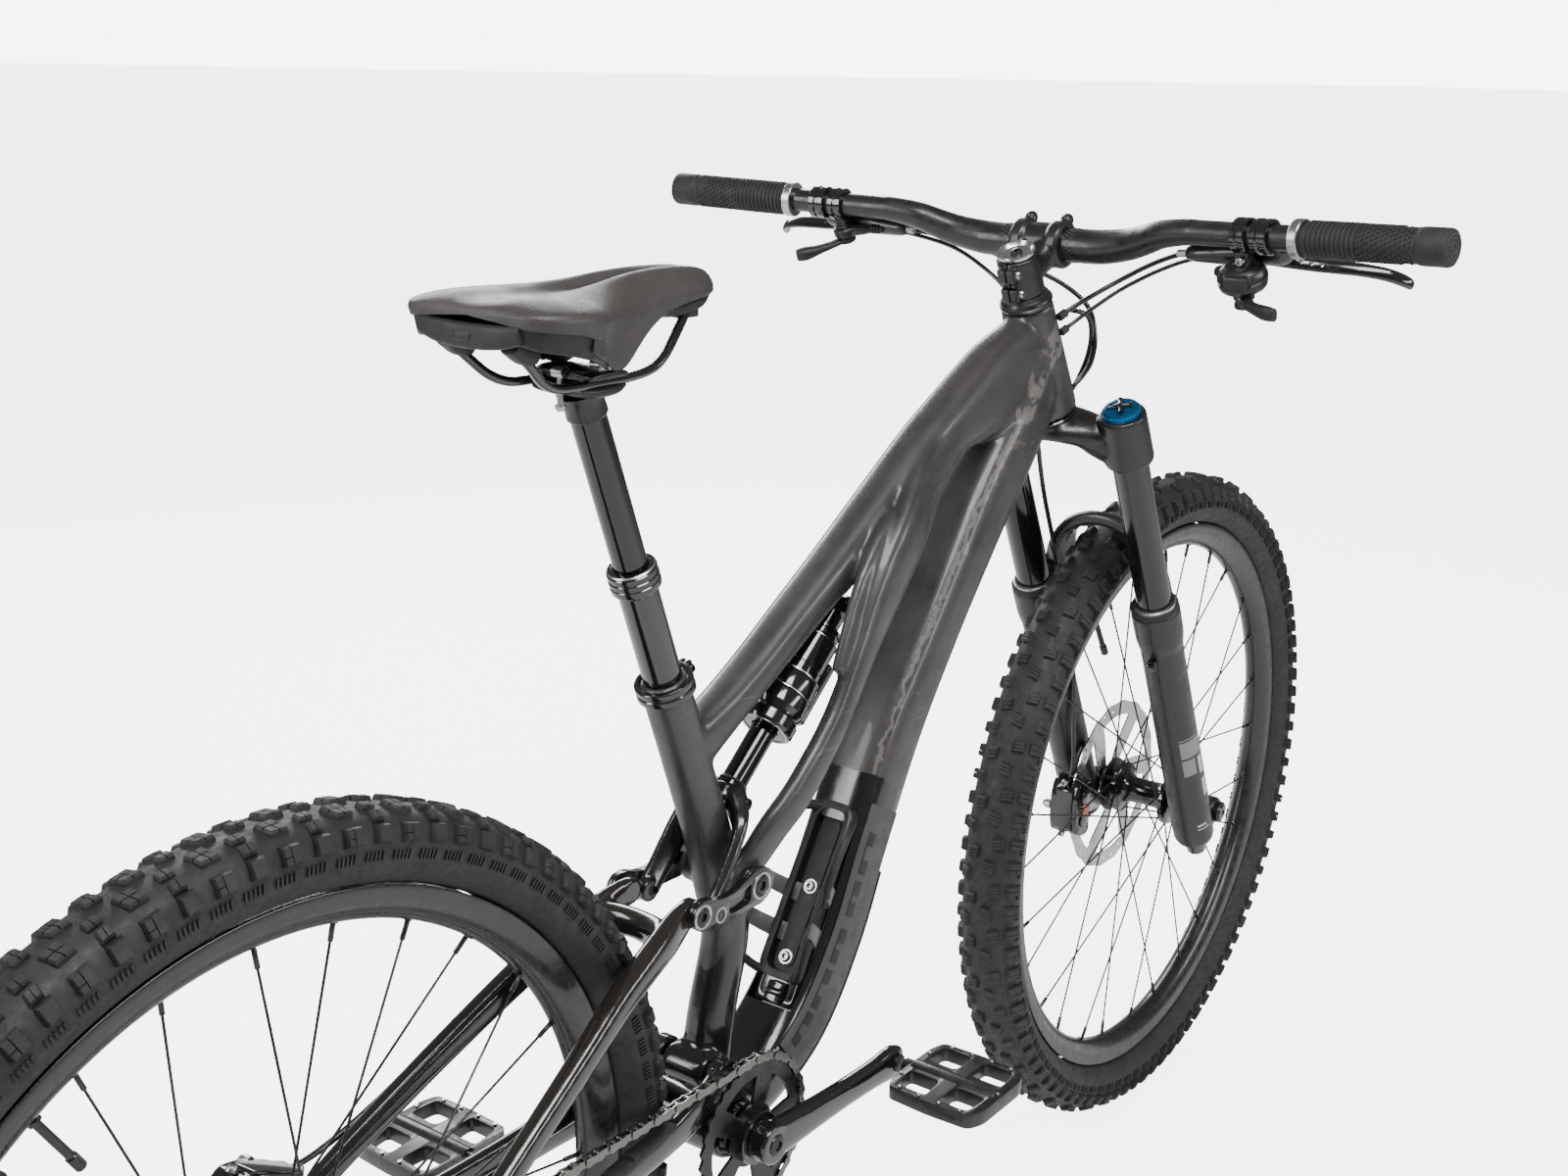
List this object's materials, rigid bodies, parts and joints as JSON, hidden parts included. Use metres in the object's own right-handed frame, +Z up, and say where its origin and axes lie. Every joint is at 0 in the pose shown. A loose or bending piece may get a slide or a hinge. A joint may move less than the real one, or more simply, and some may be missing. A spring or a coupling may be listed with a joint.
{
  "type": "mountain bike",
  "caption": "Full-suspension trail mountain bike with a four-bar rear end, telescopic fork, dropper seatpost and disc brakes.",
  "frame": {"origin": "on the ground, midway between the ends of the two tyres, in the bike's centre plane", "axes": "+X forward, +Y to the rider's left, +Z up"},
  "size_m": [1.9876, 0.8042, 1.0686],
  "materials": {
    "frame_carbon": "satin charcoal with worn raw patches",
    "gloss_black": "gloss",
    "satin_black": "satin",
    "grip_rubber": "matt",
    "tyre_rubber": "matt",
    "stanchion_coat": "gloss hard coat",
    "steel": "brushed",
    "dark_metal": "anodised",
    "blue_anodised": "anodised",
    "saddle_cover": "soft matt"
  },
  "bodies": {
    "frame": {"front_triangle": "frame_carbon", "seat_clamp": "dark_metal", "seatpost_outer": "gloss_black", "headset_upper": "satin_black", "headset_lower": "satin_black", "bottom_bracket": "dark_metal", "main_pivot_axle": "dark_metal", "chain": "steel"},
    "storage_door": {"storage_door": "gloss_black", "bottle_cage": "satin_black"},
    "seatpost": {"seatpost_inner": "stanchion_coat", "saddle_clamp": "dark_metal", "saddle_rails": "satin_black", "saddle": "saddle_cover"},
    "steering": {"fork_crown_steerer": "satin_black", "fork_stanchion_left": "stanchion_coat", "fork_stanchion_right": "stanchion_coat", "stem": "frame_carbon", "stem_faceplate": "frame_carbon", "stem_top_cap": "steel", "handlebar": "satin_black", "grip_left": "grip_rubber", "grip_right": "grip_rubber", "brake_master_left": "satin_black", "brake_master_right": "satin_black", "shifter_body": "gloss_black", "dropper_mount": "satin_black"},
    "damper_dial": {"damper_dial": "blue_anodised"},
    "brake_lever_left": {"brake_lever_left": "gloss_black"},
    "brake_lever_right": {"brake_lever_right": "gloss_black"},
    "shift_paddle_main": {"shift_paddle_main": "gloss_black"},
    "shift_paddle_release": {"shift_paddle_release": "gloss_black"},
    "dropper_lever": {"dropper_lever": "satin_black"},
    "fork_lowers": {"fork_lowers": "satin_black", "front_axle": "dark_metal", "front_caliper": "gloss_black"},
    "front_wheel": {"front_tyre": "tyre_rubber", "front_rim": "satin_black", "front_hub_spokes": "gloss_black", "front_rotor": "steel"},
    "chainstays": {"chainstays": "gloss_black"},
    "seatstays": {"seatstays": "gloss_black", "rear_axle": "dark_metal", "rear_caliper": "gloss_black", "derailleur": "satin_black"},
    "derailleur_cage": {"derailleur_cage": "satin_black"},
    "rear_wheel": {"rear_tyre": "tyre_rubber", "rear_rim": "satin_black", "rear_hub_spokes": "steel", "rear_rotor": "steel", "cassette": "steel"},
    "rocker": {"rocker_link": "gloss_black"},
    "shock_body": {"shock_body": "gloss_black"},
    "shock_shaft": {"shock_shaft": "stanchion_coat", "shock_yoke": "gloss_black"},
    "crank": {"crank_right": "gloss_black", "crank_left": "gloss_black", "chainring": "dark_metal"},
    "pedal_right": {"pedal_right": "satin_black"},
    "pedal_left": {"pedal_left": "satin_black"}
  },
  "joints": [
    {"name": "steering", "type": "hinge", "parent": "frame", "child": "steering", "pos_m": [0.34043, 0, 0.8586], "axis": [-0.4305, 0, 0.9026], "range_deg": [-55, 55]},
    {"name": "fork_travel", "type": "slide", "parent": "steering", "child": "fork_lowers", "axis": [-0.4305, 0, 0.9026], "range_m": [0, 0.16], "stiffness_N_per_m": 9000},
    {"name": "front_wheel_spin", "type": "hinge", "parent": "fork_lowers", "child": "front_wheel", "pos_m": [0.6208, 0, 0.373], "axis": [0, 1, 0], "continuous": true},
    {"name": "damper_dial_turn", "type": "hinge", "parent": "steering", "child": "damper_dial", "pos_m": [0.35577, -0.0708, 0.86592], "axis": [-0.4305, 0, 0.9026], "range_deg": [-135, 135]},
    {"name": "brake_lever_left_pull", "type": "hinge", "parent": "steering", "child": "brake_lever_left", "pos_m": [0.32655, 0.212, 1.02385], "axis": [0.4924, 0, 0.8704], "range_deg": [0, 13]},
    {"name": "brake_lever_right_pull", "type": "hinge", "parent": "steering", "child": "brake_lever_right", "pos_m": [0.32655, -0.212, 1.02385], "axis": [0.4924, 0, 0.8704], "range_deg": [-13, 0]},
    {"name": "shift_paddle_main_push", "type": "hinge", "parent": "steering", "child": "shift_paddle_main", "pos_m": [0.29175, -0.213, 0.99548], "axis": [-0.2334, 0, 0.9724], "range_deg": [-25, 0]},
    {"name": "shift_paddle_release_push", "type": "hinge", "parent": "steering", "child": "shift_paddle_release", "pos_m": [0.29373, -0.213, 0.98721], "axis": [-0.2334, 0, 0.9724], "range_deg": [-15, 0]},
    {"name": "dropper_lever_push", "type": "hinge", "parent": "steering", "child": "dropper_lever", "pos_m": [0.29665, 0.213, 1.01311], "axis": [-0.4305, 0, 0.9026], "range_deg": [0, 20]},
    {"name": "seatpost_drop", "type": "slide", "parent": "frame", "child": "seatpost", "axis": [0.3502, 0, -0.9367], "range_m": [0, 0.125]},
    {"name": "storage_door_tilt", "type": "hinge", "parent": "frame", "child": "storage_door", "pos_m": [-0.09035, 0, 0.40029], "axis": [0, -1, 0], "range_deg": [0, 8]},
    {"name": "rear_suspension", "type": "hinge", "parent": "frame", "child": "chainstays", "pos_m": [-0.198, 0, 0.39], "axis": [0, 1, 0], "range_deg": [0, 20], "deforming": ["chain"]},
    {"name": "horst_pivot", "type": "hinge", "parent": "chainstays", "child": "seatstays", "pos_m": [-0.5848, 0, 0.361], "axis": [0, 1, 0], "range_deg": [-9.36, 0]},
    {"name": "rear_wheel_spin", "type": "hinge", "parent": "seatstays", "child": "rear_wheel", "pos_m": [-0.6228, 0, 0.373], "axis": [0, 1, 0], "continuous": true},
    {"name": "derailleur_cage_swing", "type": "hinge", "parent": "seatstays", "child": "derailleur_cage", "pos_m": [-0.606, 0, 0.288], "axis": [0, 1, 0], "range_deg": [-5, 25]},
    {"name": "rocker_pivot", "type": "hinge", "parent": "frame", "child": "rocker", "pos_m": [-0.1666, 0, 0.553], "axis": [0, 1, 0], "range_deg": [0, 65.26]},
    {"name": "shock_eye_pivot", "type": "hinge", "parent": "frame", "child": "shock_body", "pos_m": [-0.01, 0, 0.741], "axis": [0, 1, 0], "range_deg": [0, 5.66]},
    {"name": "shock_stroke", "type": "slide", "parent": "shock_body", "child": "shock_shaft", "axis": [0.7593, 0, 0.6508], "range_m": [0, 0.0507]},
    {"name": "crank_spin", "type": "hinge", "parent": "frame", "child": "crank", "pos_m": [-0.186, 0, 0.34], "axis": [0, 1, 0], "continuous": true},
    {"name": "pedal_right_spin", "type": "hinge", "parent": "crank", "child": "pedal_right", "pos_m": [-0.016, -0.08, 0.34], "axis": [0, 1, 0], "continuous": true},
    {"name": "pedal_left_spin", "type": "hinge", "parent": "crank", "child": "pedal_left", "pos_m": [-0.356, 0.08, 0.34], "axis": [0, 1, 0], "continuous": true}
  ],
  "couplings": [
    {"joint": "horst_pivot", "follows": "rear_suspension", "ratio": -0.46755},
    {"joint": "rocker_pivot", "follows": "rear_suspension", "ratio": 3.2624},
    {"joint": "shock_eye_pivot", "follows": "rear_suspension", "ratio": 0.2826},
    {"joint": "shock_stroke", "follows": "rear_suspension", "m_per_rad": 0.14499}
  ]
}
